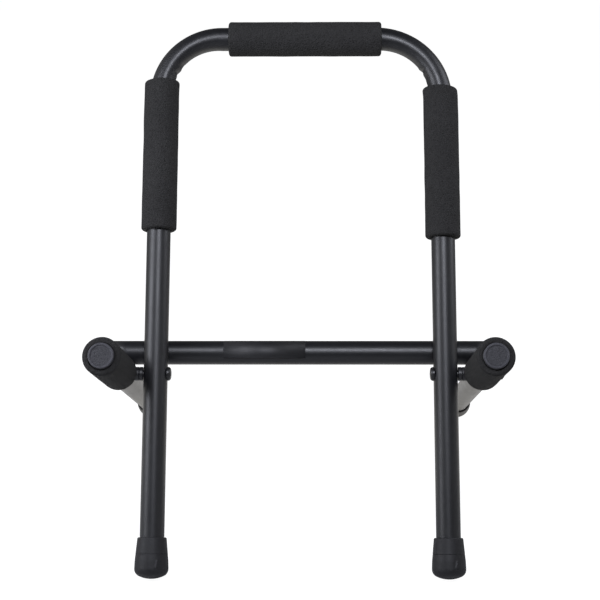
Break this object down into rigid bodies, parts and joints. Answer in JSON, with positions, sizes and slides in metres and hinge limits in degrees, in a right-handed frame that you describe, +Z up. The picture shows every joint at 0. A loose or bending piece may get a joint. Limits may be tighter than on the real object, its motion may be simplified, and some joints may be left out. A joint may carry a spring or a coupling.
{
  "type": "folding amp stand",
  "caption": "Folding tilt-back stand: a bent tube back frame crossed by two foam-covered arms on a crossbar, on rubber feet.",
  "frame": {"origin": "middle of the base: the centre of the bounding box in X and Y, on the floor", "axes": "+X to the right seen from the front, +Y to the rear, +Z up"},
  "size_m": [0.4204, 0.3988, 0.5037],
  "materials": {
    "powder_coated_tube": "satin black powder coat with a fine texture",
    "foam": "matte black closed-cell foam",
    "foot_rubber": "dull black moulded rubber",
    "end_plug_plastic": "stippled dark grey moulded plastic",
    "pivot_plastic": "smooth black nylon",
    "black_fastener": "black zinc plated steel",
    "label_film": "blank matte black film"
  },
  "bodies": {
    "back_frame": {"back_frame_tube": "powder_coated_tube", "top_foam": "foam", "left_side_foam": "foam", "right_side_foam": "foam", "left_front_foot": "foot_rubber", "left_pivot_bolt": "black_fastener", "left_leg_washer": "pivot_plastic", "left_pivot_spacer": "pivot_plastic", "left_outer_washer": "black_fastener", "left_lock_nut": "black_fastener", "right_front_foot": "foot_rubber", "right_pivot_bolt": "black_fastener", "right_leg_washer": "pivot_plastic", "right_pivot_spacer": "pivot_plastic", "right_outer_washer": "black_fastener", "right_lock_nut": "black_fastener"},
    "arm_frame": {"crossbar_tube": "powder_coated_tube", "crossbar_label": "label_film", "left_arm_tube": "powder_coated_tube", "left_crossbar_weld": "powder_coated_tube", "left_crossbar_plug": "end_plug_plastic", "left_arm_foam": "foam", "left_arm_plug": "end_plug_plastic", "left_rear_foot": "foot_rubber", "right_arm_tube": "powder_coated_tube", "right_crossbar_weld": "powder_coated_tube", "right_crossbar_plug": "end_plug_plastic", "right_arm_foam": "foam", "right_arm_plug": "end_plug_plastic", "right_rear_foot": "foot_rubber"}
  },
  "joints": [
    {"name": "arm_fold", "type": "hinge", "parent": "back_frame", "child": "arm_frame", "pos_m": [0, -0.06885, 0.17836], "axis": [-1, 0, 0], "range_deg": [0, 90]}
  ]
}
